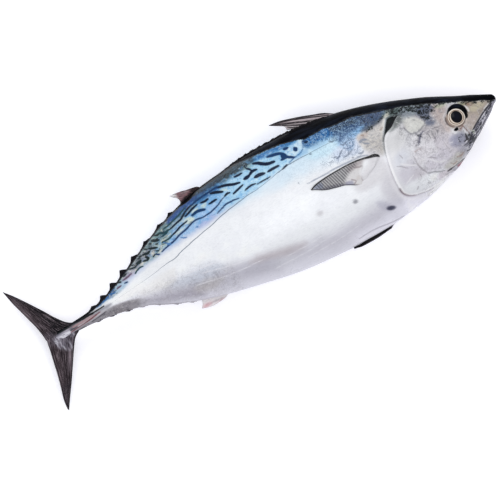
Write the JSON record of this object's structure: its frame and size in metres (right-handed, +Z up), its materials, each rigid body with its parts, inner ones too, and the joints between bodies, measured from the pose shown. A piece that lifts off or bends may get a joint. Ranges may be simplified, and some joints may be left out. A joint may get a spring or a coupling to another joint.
{
  "type": "whole raw fish",
  "caption": "Whole raw small tuna lying on its left flank, with gill covers, closed mouth, round eyes, folded fins, finlets, side keels and a forked tail.",
  "frame": {"origin": "on the surface that the fish lies on, under the middle of its outline", "axes": "+X towards the snout, +Y towards the back of the fish, +Z up, out of its right flank"},
  "size_m": [0.4958, 0.148, 0.0828],
  "materials": {
    "skin": "wet silver skin, near-black back, blue wavy pattern on the rear of the back, pale lavender belly",
    "fin": "wet charcoal fin rays with brown web",
    "eye": "wet clear eye, pale gold ring round a black pupil"
  },
  "bodies": {
    "root": {"fish": "skin"}
  },
  "joints": []
}
